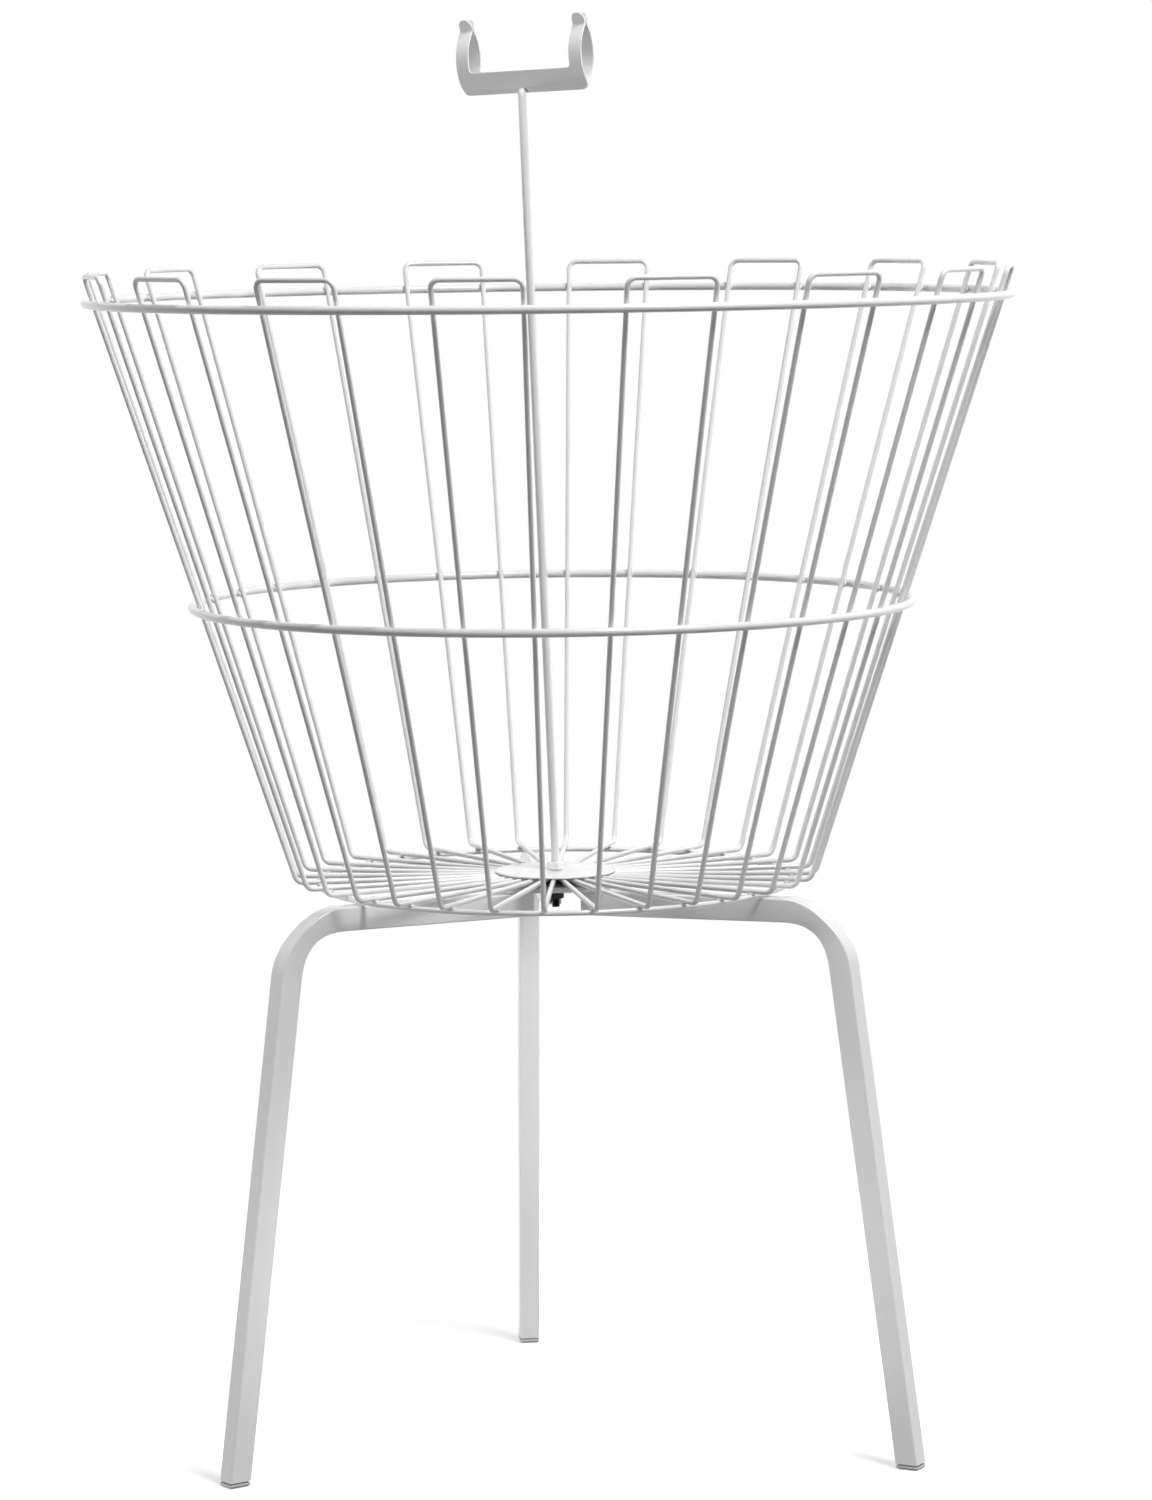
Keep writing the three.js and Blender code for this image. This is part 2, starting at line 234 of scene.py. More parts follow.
class Piece:
    """Points and faces gathered from closed grids, each one turned so that its faces point outwards."""

    def __init__(self):
        self.points = []
        self.faces = []
        self.count = 0

    def add(self, grid, looped=False):
        """Adds a grid of rows round a form. Each row closes on itself; the ends are capped or looped."""
        rows, columns = grid.shape[:2]
        numbers = np.arange(rows * columns).reshape(rows, columns)
        following = np.roll(numbers, -1, 0) if looped else numbers[1:]
        leading = numbers if looped else numbers[:-1]
        quads = [leading, np.roll(leading, -1, 1), np.roll(following, -1, 1), following]
        quads = np.stack(quads, -1).reshape(-1, 4)
        points = grid.reshape(-1, 3)
        triangles = np.zeros((0, 3), int)
        if not looped:
            centres = np.stack([grid[0].mean(0), grid[-1].mean(0)])
            points = np.concatenate([points, centres])
            first, last = numbers[0], numbers[-1]
            low = np.full(columns, rows * columns)
            start = np.stack([np.roll(first, -1), first, low], -1)
            end = np.stack([last, np.roll(last, -1), low + 1], -1)
            triangles = np.concatenate([start, end])
        split = np.concatenate([quads[:, :3], quads[:, [0, 2, 3]], triangles])
        a, b, c = (points[split[:, corner]] for corner in range(3))
        if (a * np.cross(b, c)).sum() < 0:
            quads, triangles = quads[:, ::-1], triangles[:, ::-1]
        self.points.append(points)
        self.faces += (quads + self.count).tolist() + (triangles + self.count).tolist()
        self.count += len(points)
        return self

    def make(self, name, body, material, slot, *nodes, crease=40):
        """Makes the mesh object, which rides on a body and stands for the CAD nodes given."""
        mesh = bpy.data.meshes.new(name)
        mesh.from_pydata(np.concatenate(self.points).tolist(), [], self.faces)
        mesh.shade_smooth()
        mesh.set_sharp_from_angle(angle=np.radians(crease))
        mesh.materials.append(material)
        piece = bpy.data.objects.new(name, mesh)
        bpy.context.scene.collection.objects.link(piece)
        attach(piece, body)
        if nodes:
            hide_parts(*nodes)


# Finishes
class Socket:
    """A shader value. Operators on it add Math nodes; node() adds any other node."""

    def __init__(self, tree, output):
        self.tree = tree
        self.output = output

    def node(self, kind, inputs=None, result=0, **settings):
        made = self.tree.nodes.new(kind)
        for key, value in settings.items():
            setattr(made, key, value)
        for key, value in (inputs or {}).items():
            if isinstance(value, Socket):
                self.tree.links.new(value.output, made.inputs[key])
            else:
                made.inputs[key].default_value = value
        return Socket(self.tree, made.outputs[result]) if len(made.outputs) else made

    def maths(self, operation, *values):
        return self.node("ShaderNodeMath", dict(enumerate(values)), operation=operation)

    def __add__(self, other):
        return self.maths("ADD", self, other)

    def __sub__(self, other):
        return self.maths("SUBTRACT", self, other)

    def __mul__(self, other):
        return self.maths("MULTIPLY", self, other)

    def __rsub__(self, other):
        return self.maths("SUBTRACT", other, self)

    __radd__ = __add__
    __rmul__ = __mul__

    def either(self, other):
        """The greater of two masks."""
        return self.maths("MAXIMUM", self, other)

    def between(self, low, high):
        """0 below low, 1 above high and smooth between."""
        limits = {"Value": self, "From Min": low, "From Max": high}
        return self.node("ShaderNodeMapRange", limits, interpolation_type="SMOOTHSTEP")

    def noise(self, scale, detail=2.0, roughness=0.5):
        """Cloudy noise on this socket's coordinates, from 0 to 1."""
        inputs = {"Vector": self, "Scale": scale, "Detail": detail, "Roughness": roughness}
        return self.node("ShaderNodeTexNoise", inputs)

    def tint(self, low, high):
        """The colour low where this is 0, and high where it is 1."""
        inputs = {"Factor": self, 6: (*low, 1), 7: (*high, 1)}
        return self.node("ShaderNodeMix", inputs, result=2, data_type="RGBA")

    def bump(self, distance, strength=1.0):
        """A normal that follows this height."""
        inputs = {"Height": self, "Distance": distance, "Strength": strength}
        return self.node("ShaderNodeBump", inputs)


def finish(name, paint):
    """A material whose shader sockets are set by paint, which is given the Object coordinates."""
    material = bpy.data.materials.new(name)
    material.use_nodes = True
    tree = material.node_tree
    shader = tree.nodes["Principled BSDF"]
    here = Socket(tree, None).node("ShaderNodeTexCoord", result=3)
    for key, value in paint(here).items():
        if isinstance(value, Socket):
            tree.links.new(value.output, shader.inputs[key])
        else:
            shader.inputs[key].default_value = value
    return material


def powder_coat(here):
    """White powder coat: a fine orange peel, thin and thick places, and a few pale specks of dust."""
    peel = here.noise(650, 1.5)
    flow = here.noise(140, 1.0)
    cloud = here.noise(9, 3.0)
    dust = here.noise(1900, 1.0).between(0.74, 0.80)
    shade = cloud.between(0.3, 0.7) * 0.8 + dust * 0.2
    return {
        "Base Color": shade.tint((0.80, 0.80, 0.80), (0.84, 0.84, 0.838)),
        "Roughness": 0.20 + cloud * 0.10 + dust * 0.15,
        "Normal": (peel + flow * 0.8).bump(0.00005),
        "Coat Weight": 0.4,
        "Coat Roughness": 0.07,
    }


def welded_coat(here):
    """Powder coat over a weld: the bead's ripples show through it."""
    ripple = here.noise(900, 2.0)
    lump = here.noise(420, 1.0)
    return {
        "Base Color": lump.tint((0.74, 0.74, 0.74), (0.82, 0.82, 0.82)),
        "Roughness": 0.26 + ripple * 0.16,
        "Normal": (ripple * 0.5 + lump).bump(0.0004),
    }


def moulded_black(here):
    """Black nylon with the fine texture of its mould."""
    grain = here.noise(2600, 2.0)
    worn = here.noise(160, 3.0).between(0.45, 0.75)
    return {
        "Base Color": worn.tint((0.010, 0.010, 0.011), (0.022, 0.022, 0.023)),
        "Specular IOR Level": 0.2,
        "Roughness": 0.42 + grain * 0.18,
        "Normal": grain.bump(0.00004),
    }


def blackened_steel(here):
    """Steel with a black oxide finish, rubbed a little on its high places."""
    rubbed = here.noise(700, 3.0).between(0.58, 0.78)
    grain = here.noise(3200, 2.0)
    return {
        "Base Color": rubbed.tint((0.012, 0.012, 0.013), (0.07, 0.07, 0.072)),
        "Metallic": 0.75,
        "Roughness": 0.34 + grain * 0.2,
        "Normal": grain.bump(0.00003),
    }


def moulded_pale(here):
    """Off-white polyethylene, a little cloudy, with painted shade where it meets the floor and in the
    neck.
    """
    height = here.node("ShaderNodeSeparateXYZ", {"Vector": here}, result=2)
    grain = here.noise(1800, 2.0)
    shade_noise = here.noise(300, 3.0)
    # Painted shade: darker towards the bottom of the sole and in a band at the neck under the tube, varied
    # by noise
    sole = 1 - height.between(0.0006, 0.0020)
    neck = height.between(CAP_NECK_HEIGHT - 0.0002, CAP_NECK_HEIGHT) * 0.7
    painted_shade = (sole + neck) * (0.7 + shade_noise * 0.4)
    return {
        # From the plastic's own colour to the dark grey of the painted shade
        "Base Color": painted_shade.tint((0.74, 0.74, 0.73), (0.13, 0.125, 0.12)),
        "Roughness": 0.42 + grain * 0.15,
        "Normal": grain.bump(0.00004),
    }


COAT = finish("white_powder_coat", powder_coat)
WELD = finish("coated_weld", welded_coat)
BLACK_PLASTIC = finish("black_moulded_plastic", moulded_black)
BLACK_STEEL = finish("blackened_steel", blackened_steel)
PALE_PLASTIC = finish("pale_moulded_plastic", moulded_pale)


# Basket: hairpin wires, rings and welds
WALL_SLOPE = np.arctan2(RIM_RADIUS - FLOOR_RADIUS, RIM_HEIGHT - FLOOR_HEIGHT)
WIRE_ANGLE = np.pi / (2 * HAIRPIN_COUNT)
RIM_ANGLE = np.arcsin(HAIRPIN_HALF_WIDTH / RIM_RADIUS)
HAIRPIN_AZIMUTHS = FIRST_HAIRPIN + np.arange(HAIRPIN_COUNT) * 2 * np.pi / HAIRPIN_COUNT


def hairpin_corners():
    """Corners of one hairpin about azimuth 0: floor end, floor corner, top corner, and back again."""
    floor_end = polar(WIRE_END_RADIUS, WIRE_ANGLE, FLOOR_HEIGHT)
    floor_corner = polar(FLOOR_RADIUS, WIRE_ANGLE, FLOOR_HEIGHT)
    rim_point = polar(RIM_RADIUS, RIM_ANGLE, RIM_HEIGHT)
    climb = (HAIRPIN_TOP - FLOOR_HEIGHT) / (RIM_HEIGHT - FLOOR_HEIGHT)
    near = np.stack([floor_end, floor_corner, floor_corner + climb * (rim_point - floor_corner)])
    return np.concatenate([near, near[::-1] * [1, -1, 1]])


def make_hairpins():
    """A round wire along the hairpin's path. Its section is square to the path: one side of it is
    square to a fixed slanting direction too, which no run of the path follows."""
    radii = [FLOOR_BEND, TOP_BEND, TOP_BEND, FLOOR_BEND]
    slant = [-1.0, 0.0, 1.0]
    path, tangent = formed_path(hairpin_corners(), radii, WIRE_BEND_STEPS)
    across = unit(np.cross(tangent, slant))
    wire = carried(circle(WIRE_RADIUS, WIRE_SIDES), path, across, np.cross(tangent, across))
    for number, azimuth in enumerate(HAIRPIN_AZIMUTHS, 1):
        node = f"hairpin_wire_{number:02d}"
        piece = Piece().add(turned(wire, azimuth))
        piece.make(f"hairpin_{number:02d}", "basket", COAT, "powder_coat", node)


def ring_size(node):
    """A ring's radius, height and wire radius. The CAD's facets are drawn round the true circle, so their
    corners lie outside it."""
    low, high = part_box(node)
    section = (high.z - low.z) / 2
    radius = ((high.x - low.x) / 2 - section) * np.cos(np.pi / CAD_RING_STEPS)
    return radius, (low.z + high.z) / 2, section


def make_ring(node):
    """A round wire bent into a ring, a little thicker over the butt weld that closes it."""
    radius, height, section = ring_size(node)
    angle = np.linspace(0, 2 * np.pi, RING_STEPS, endpoint=False)
    from_weld = (angle - BUTT_WELD_AZIMUTH) * radius / section
    swell = 1 + BUTT_WELD_SWELL * np.exp(-(from_weld**2))
    path = polar(radius, angle, height)
    outward = polar(1.0, angle, 0.0)
    upward = np.broadcast_to(UP, path.shape)
    profile = circle(section, WIRE_SIDES)[None] * swell[:, None, None]
    piece = Piece().add(carried(profile, path, outward, upward), looped=True)
    piece.make(node + "_wire", "basket", COAT, "powder_coat", node)


def weld_nugget(centre, along, beside, outward, sizes):
    """A flattened ball: a unit sphere, cut flat near its poles, stretched by three sizes along three
    directions."""
    polar_angle = np.linspace(NUGGET_POLE, np.pi - NUGGET_POLE, 7)[:, None]
    turn = np.linspace(0, 2 * np.pi, 12, endpoint=False)
    x = np.sin(polar_angle) * np.cos(turn) * sizes[0]
    y = np.sin(polar_angle) * np.sin(turn) * sizes[1]
    z = np.broadcast_to(np.cos(polar_angle) * sizes[2], x.shape)
    return centre + x[..., None] * along + y[..., None] * beside + z[..., None] * outward


def wires_at_height(height):
    """Where the two sides of every hairpin pass a height on the wall."""
    corners = hairpin_corners()
    share = (height - FLOOR_HEIGHT) / (corners[2, 2] - FLOOR_HEIGHT)
    side = corners[1] + share * (corners[2] - corners[1])
    both = np.stack([side, side * [1, -1, 1]])
    return np.concatenate([turned(both, azimuth) for azimuth in HAIRPIN_AZIMUTHS])


def make_wall_welds(name, ring):
    """A nugget in the gap at each crossing of a wall ring and a wire."""
    height = ring_size(ring)[1]
    piece = Piece()
    for point in wires_at_height(height):
        azimuth = np.arctan2(point[1], point[0])
        outward = polar(np.cos(WALL_SLOPE), azimuth, -np.sin(WALL_SLOPE))
        tangent = polar(1.0, azimuth + np.pi / 2, 0.0)
        along = np.cross(tangent, outward)
        centre = point + outward * (WIRE_RADIUS + FIT_GAP / 2)
        piece.add(weld_nugget(centre, along, tangent, outward, WALL_NUGGET))
    piece.make(name, "basket", WELD, "powder_coat")


def make_floor_welds(name, ring):
    """A nugget in the gap at each crossing of the floor ring and a floor wire."""
    radius = ring_size(ring)[0]
    azimuths = np.concatenate([HAIRPIN_AZIMUTHS - WIRE_ANGLE, HAIRPIN_AZIMUTHS + WIRE_ANGLE])
    piece = Piece()
    for azimuth in azimuths:
        along = polar(1.0, azimuth, 0.0)
        tangent = polar(1.0, azimuth + np.pi / 2, 0.0)
        centre = polar(radius, azimuth, FLOOR_HEIGHT - WIRE_RADIUS - FIT_GAP / 2)
        piece.add(weld_nugget(centre, along, tangent, UP, FLOOR_NUGGET))
    piece.make(name, "basket", WELD, "powder_coat")


def make_disc():
    """The disc's section, with its edges rounded, carried round the axis."""
    low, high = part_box("centre_disc")
    radius = high.x
    bore = POST_RADIUS + FIT_GAP
    outline = [(bore, low.z), (radius, low.z), (radius, high.z), (bore, high.z)]
    piece = Piece().add(revolved(softened(outline, DISC_EDGE_ROUND, 6), 128), looped=True)
    piece.make("floor_disc", "basket", COAT, "powder_coat", "centre_disc")


# Tripod: legs, caps, hub plate and bearing
def arm_middle(radius):
    """Height of the arms' middle line, which climbs outwards under the hub plate's edge."""
    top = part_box("hub_plate")[0].z - FIT_GAP
    reach = PLATE_LOBE_OFFSET + PLATE_LOBE_RADIUS
    return top + (radius - reach) * np.tan(ARM_RISE) - LEG_DEPTH / 2 / np.cos(ARM_RISE)


def leg_path(start_radius):
    """Middle line of one leg about azimuth 0: out along the arm, round the bend, down to the floor."""
    start = polar(start_radius, 0.0, arm_middle(start_radius))
    corner = polar(LEG_CORNER_RADIUS, 0.0, arm_middle(LEG_CORNER_RADIUS))
    foot = polar(FOOT_RADIUS, 0.0, 0.0)
    return formed_path([start, corner, foot], [LEG_BEND], LEG_BEND_STEPS)


def level_end(grid, height):
    """The last row slid along the leg until it lies at a height, as a tube cut level."""
    run = unit(grid[-1].mean(0) - grid[-2].mean(0))
    grid[-1] += run * ((height - grid[-1][:, 2]) / run[2])[:, None]
    return grid


def leg_wall(start_radius, inset):
    """One wall of the leg's tube: a rounded rectangle carried along the leg's middle line.

    Through the bend the section flattens and its outer face sinks between the corners, both in step with
    sin squared of the share of the bend.
    """
    path, tangent = leg_path(start_radius)
    across = np.broadcast_to([0.0, 1.0, 0.0], path.shape)
    upward = np.cross(tangent, across)
    upward = upward * np.sign(upward[0, 2])
    radius = max(LEG_CORNER_ROUND - inset, LEG_WALL / 2)
    corners = rounded_rectangle(LEG_WIDTH - 2 * inset, LEG_DEPTH - 2 * inset, radius, CORNER_STEPS)
    face_start, face_end = corners[CORNER_STEPS - 1], corners[CORNER_STEPS]
    outer_face = np.linspace(face_start, face_end, 11)[1:-1]
    profile = np.concatenate([corners[:CORNER_STEPS], outer_face, corners[CORNER_STEPS:]])
    on_face = profile[:, 1] > face_start[1] - 1e-6
    hollow = np.where(on_face, 1 - (profile[:, 0] / face_start[0]) ** 2, 0)
    share = np.linspace(0, 1, len(path) - 2)
    bent = np.concatenate([[0], np.sin(np.pi * share) ** 2, [0]])[:, None]
    depth = profile[:, 1] * (1 - BEND_FLATTENING * bent) - BEND_SINK * bent * hollow
    profile = np.stack([np.broadcast_to(profile[:, 0], depth.shape), depth], -1)
    return level_end(carried(profile, path, across, upward), CAP_HEIGHT + FIT_GAP)


def make_legs():
    """The outer wall out to the foot and the inner wall back again, as one tube with open ends."""
    for side, azimuth in LEG_AZIMUTHS.items():
        start = ARM_START_RADII[side]
        tube = np.concatenate([leg_wall(start, 0.0), leg_wall(start, LEG_WALL)[::-1]])
        piece = Piece().add(turned(tube, azimuth), looped=True)
        piece.make(f"leg_tube_{side}", "tripod", COAT, "powder_coat", f"leg_{side}")


def make_caps():
    """Rounded rectangles stacked along the leg's slope: a rounded sole, a straight side, a neck that
    leaves a shadow line under the tube, and the plug inside the tube. A level is a height and an inset."""
    run = leg_path(ARM_START_RADII["back"])[1][-1]
    slope = run / run[2]
    plug = LEG_WALL + FIT_GAP
    sole = [(0.0, 0.0026), (0.0004, 0.0016), (0.0009, 0.0008), (0.0014, 0.0003), (0.0017, 0.0001)]
    shoulder = [(0.0028, 0.0001), (0.0030, 0.0003), (CAP_NECK_HEIGHT, 0.0008)]
    inside = [(CAP_NECK_HEIGHT, plug), (CAP_HEIGHT, plug), (CAP_HEIGHT + CAP_PLUG, plug)]
    rows = []
    for height, inset in sole + shoulder + inside:
        radius = max(LEG_CORNER_ROUND - inset, LEG_WALL / 2)
        depth = LEG_DEPTH / np.abs(unit(slope)[2]) - 2 * inset
        section = rounded_rectangle(depth, LEG_WIDTH - 2 * inset, radius, CORNER_STEPS)
        centre = polar(FOOT_RADIUS, 0.0, 0.0) + slope * height
        rows.append(centre + np.concatenate([section, np.zeros((len(section), 1))], 1))
    cap = np.stack(rows)
    for side, azimuth in LEG_AZIMUTHS.items():
        piece = Piece().add(turned(cap, azimuth))
        piece.make(f"foot_{side}", "tripod", PALE_PLASTIC, "pale_plastic", f"foot_cap_{side}")


def plate_outline(count):
    """Evenly spaced points round three lobes and the straight edges that touch them. Gives the points
    and their outward normals."""
    azimuths = np.array(list(LEG_AZIMUTHS.values()))
    lobes = polar(PLATE_LOBE_OFFSET, azimuths, 0.0)[:, :2]
    edges = np.roll(lobes, -1, 0) - lobes
    end = np.arctan2(-edges[:, 0], edges[:, 1])
    start = np.roll(end, 1)
    sweep = (end - start) % (2 * np.pi)
    angle = start[:, None] + sweep[:, None] * np.linspace(0, 1, 16)
    rounds = np.stack([np.cos(angle), np.sin(angle)], -1) * PLATE_LOBE_RADIUS
    loop = (lobes[:, None] + rounds).reshape(-1, 2)
    loop = np.concatenate([loop, loop[:1]])
    travelled = np.concatenate([[0], np.cumsum(np.linalg.norm(np.diff(loop, axis=0), axis=1))])
    stops = np.linspace(0, travelled[-1], count, endpoint=False)
    points = np.stack([np.interp(stops, travelled, loop[:, axis]) for axis in range(2)], -1)
    run = unit(np.roll(points, -1, 0) - np.roll(points, 1, 0))
    return points, np.stack([run[:, 1], -run[:, 0]], -1)


def make_plate():
    """The plate's section from bore to edge and back, with rounded edges, swept round its outline."""
    low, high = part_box("hub_plate")
    bore = SPIGOT_RADIUS + FIT_GAP
    edge = PLATE_EDGE_ROUND
    points, normal = plate_outline(192)
    angle = np.arctan2(points[:, 1], points[:, 0])
    inner = np.stack([np.cos(angle), np.sin(angle)], -1) * bore
    turn = np.linspace(0, np.pi / 2, 5)
    inset = np.concatenate([edge * (1 - np.sin(turn)), edge * (1 - np.cos(turn))])
    height = np.concatenate([low.z + edge * (1 - np.cos(turn)), high.z - edge * (1 - np.sin(turn))])
    rim = points[:, None] - normal[:, None] * inset[:, None]
    section = np.concatenate([inner[:, None], rim, inner[:, None]], 1)
    heights = np.concatenate([[low.z], height, [high.z]])
    heights = np.broadcast_to(heights, section.shape[:2])[..., None]
    piece = Piece().add(np.concatenate([section, heights], -1), looped=True)
    piece.make("hub_lobes", "tripod", COAT, "powder_coat", "hub_plate")


def make_plate_welds():
    """A rippled bead along each side of every arm where it lies under the plate."""
    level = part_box("hub_plate")[0].z - BEAD_SINK
    reach = PLATE_LOBE_OFFSET + PLATE_LOBE_RADIUS
    step = np.arange(BEAD_STEPS)
    swell = 1 + BEAD_RIPPLE * np.cos(step * BEAD_RIPPLE_TURN)
    from_end = np.minimum(step, BEAD_STEPS - 1 - step)
    taper = np.clip(from_end / BEAD_TAPER_STEPS, BEAD_TIP, 1) ** 0.5
    profile = circle(BEAD_RADIUS, 12)[None] * (swell * taper)[:, None, None]
    across = np.broadcast_to([0.0, 1.0, 0.0], (BEAD_STEPS, 3))
    piece = Piece()
    for side, azimuth in LEG_AZIMUTHS.items():
        start, end = ARM_START_RADII[side] + BEAD_START_GAP, reach - BEAD_END_GAP
        for edge in (-LEG_WIDTH / 2, LEG_WIDTH / 2):
            path = np.linspace((start, edge, level), (end, edge, level), BEAD_STEPS)
            bead = carried(profile, path, across, np.broadcast_to(UP, path.shape))
            piece.add(turned(bead, azimuth))
    piece.make("hub_welds", "tripod", WELD, "powder_coat")


def make_bearing():
    """The bearing's section, a flange with softened edges and a spigot, carried round the axis."""
    low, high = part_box("turning_bearing")
    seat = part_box("hub_plate")[1].z + FIT_GAP
    flange = high.x
    bore = POST_RADIUS + FIT_GAP
    outline = [(bore, low.z), (SPIGOT_RADIUS, low.z), (SPIGOT_RADIUS, seat), (flange, seat),
               (flange, high.z), (bore, high.z)]
    piece = Piece().add(revolved(softened(outline, BEARING_EDGE_ROUND, 5), 96), looped=True)
    piece.make("bearing_bush", "tripod", BLACK_PLASTIC, "black_plastic", "turning_bearing")


# Post, nuts and sign clip
def make_nut(node, name, material, slot):
    """A hexagon's radius at each angle is flats / 2 / cos(angle from the nearest flat's middle). A cone
    cuts its corners at both ends, so a side's end lies further in where the radius is greater."""
    low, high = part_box(node)
    angle = np.linspace(0, 2 * np.pi, 144, endpoint=False)
    from_flat = (angle + np.pi / 6) % (np.pi / 3) - np.pi / 6
    outside = NUT_FLATS / 2 / np.cos(from_flat)
    face = np.full_like(angle, NUT_FLATS / 2 * NUT_FACE_SHARE)
    rise = (outside - face) * NUT_CHAMFER_SLOPE
    bore = np.full_like(angle, POST_RADIUS + FIT_GAP / 2)
    mouth = bore + NUT_MOUTH
    radius = np.stack([bore, mouth, face, outside, outside, face, mouth, bore], 1)
    bottom, top = np.full_like(angle, low.z), np.full_like(angle, high.z)
    height = np.stack([bottom + NUT_MOUTH, bottom, bottom, bottom + rise,
                       top - rise, top, top, top - NUT_MOUTH], 1)
    piece = Piece().add(polar(radius, angle[:, None], height), looped=True)
    piece.make(name, "basket", material, slot, node, crease=25)


LEAN = np.array([np.sin(POST_LEAN) * np.cos(POST_LEAN_AZIMUTH),
                 np.sin(POST_LEAN) * np.sin(POST_LEAN_AZIMUTH), np.cos(POST_LEAN)])
POST_BEND_POINT = np.array([0.0, 0.0, POST_BEND_HEIGHT])
POST_TOP = POST_BEND_POINT + LEAN * POST_LENGTH


def leaned(points):
    """Points of the clip's own upright frame, turned by the shortest turn from upright to the post's
    lean, about the axis that is square to both."""
    axis = np.cross(UP, LEAN)
    cross = np.array([[0, -axis[2], axis[1]], [axis[2], 0, -axis[0]], [-axis[1], axis[0], 0]])
    turn = np.eye(3) + cross + cross @ cross / (1 + LEAN[2])
    return points @ turn.T


def make_post():
    """A round rod along the post's path from the lower nut to the clip. At its tip the radius falls as
    the cosine of an angle while the length grows as its sine."""
    foot = np.array([0.0, 0.0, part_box("retaining_nut")[1].z])
    shoulder = POST_TOP - LEAN * POST_TIP
    path, tangent = formed_path([foot, POST_BEND_POINT, shoulder], [POST_BEND], 12)
    angle = np.linspace(0, POST_TIP_TURN, 12)[1:]
    path = np.concatenate([path, shoulder + LEAN * POST_TIP * np.sin(angle)[:, None]])
    tangent = np.concatenate([tangent, np.broadcast_to(LEAN, (len(angle), 3))])
    scale = np.concatenate([np.ones(len(path) - len(angle)), np.cos(angle)])
    across = unit(np.cross(tangent, [0.0, 1.0, 0.0]))
    profile = circle(POST_RADIUS, 24)[None] * scale[:, None, None]
    piece = Piece().add(carried(profile, path, across, np.cross(tangent, across)))
    piece.make("sign_rod", "basket", COAT, "powder_coat", "sign_post")


def make_thread():
    """The radius of a screw thread is a triangle wave of height / pitch - angle / full turn, and its
    lower end has a small chamfer."""
    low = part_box("sign_post")[0].z
    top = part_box("retaining_nut")[1].z
    height = np.arange(low, top, THREAD_PITCH / 12)[:, None]
    angle = np.linspace(0, 2 * np.pi, 40, endpoint=False)
    wave = np.abs(((height - low) / THREAD_PITCH - angle / (2 * np.pi)) % 1 * 2 - 1)
    lead = np.clip(1 - (height - low) / THREAD_LEAD, 0, 1)
    radius = POST_RADIUS - THREAD_DEPTH * np.maximum(wave, THREAD_CREST_FLAT) - THREAD_LEAD_DEPTH * lead
    piece = Piece().add(polar(radius, angle, height))
    piece.make("spindle_thread", "basket", BLACK_STEEL, "black_steel", crease=30)


def leaf_section():
    """Depth, height and slope up the middle of a leaf: seam, bow, pinch and lip."""
    seam = (LEAF_THICKNESS + FIT_GAP) / 2
    bow_height = (LEAF_SEAM_HEIGHT + LEAF_PINCH_HEIGHT) / 2
    depths = [-seam, -seam, -seam - LEAF_BOW, -seam, -seam - LEAF_LIP_FLARE]
    heights = [0.0, LEAF_SEAM_HEIGHT, bow_height, LEAF_PINCH_HEIGHT, LEAF_HEIGHT]
    corners = np.stack([np.zeros(5), depths, heights], -1)
    radii = [LEAF_SEAM_RADIUS, LEAF_BOW_RADIUS, LEAF_PINCH_RADIUS]
    path, tangent = formed_path(corners, radii, 24)
    return path[:, 1], path[:, 2], np.arctan2(tangent[:, 1], tangent[:, 2])


def quarter(centre_x, centre_z, radius, start, end, steps=10):
    """An arc between two angles, given in quarter turns."""
    angle = np.linspace(start, end, steps) * np.pi / 2
    return np.stack([centre_x + radius * np.cos(angle), centre_z + radius * np.sin(angle)], -1)


def leaf_edges():
    """Outer and inner edge of the leaf's front view, point for point, from the left tip to the right."""
    half, inner = LEAF_HALF_WIDTH, LEAF_HALF_WIDTH - LEAF_ARM_WIDTH
    lip = LEAF_HEIGHT - LEAF_LIP_ROUND
    outer_edge = np.concatenate([
        np.linspace((0, 0), (half - LEAF_LOWER_ROUND, 0), 12)[:-1],
        quarter(half - LEAF_LOWER_ROUND, LEAF_LOWER_ROUND, LEAF_LOWER_ROUND, -1, 0),
        np.linspace((half, LEAF_LOWER_ROUND), (half, lip), 48)[1:-1],
        quarter(half - LEAF_LIP_ROUND, lip, LEAF_LIP_ROUND, 0, 1)])
    notch = LEAF_BAR_HEIGHT + LEAF_NOTCH_ROUND
    inner_edge = np.concatenate([
        np.linspace((0, LEAF_BAR_HEIGHT), (inner - LEAF_NOTCH_ROUND, LEAF_BAR_HEIGHT), 12)[:-1],
        quarter(inner - LEAF_NOTCH_ROUND, notch, LEAF_NOTCH_ROUND, -1, 0),
        np.linspace((inner, notch), (inner, lip), 48)[1:-1],
        quarter(inner + LEAF_LIP_ROUND, lip, LEAF_LIP_ROUND, 2, 1)])
    mirror = np.array([-1, 1])
    return [np.concatenate([edge[:0:-1] * mirror, edge]) for edge in (outer_edge, inner_edge)]


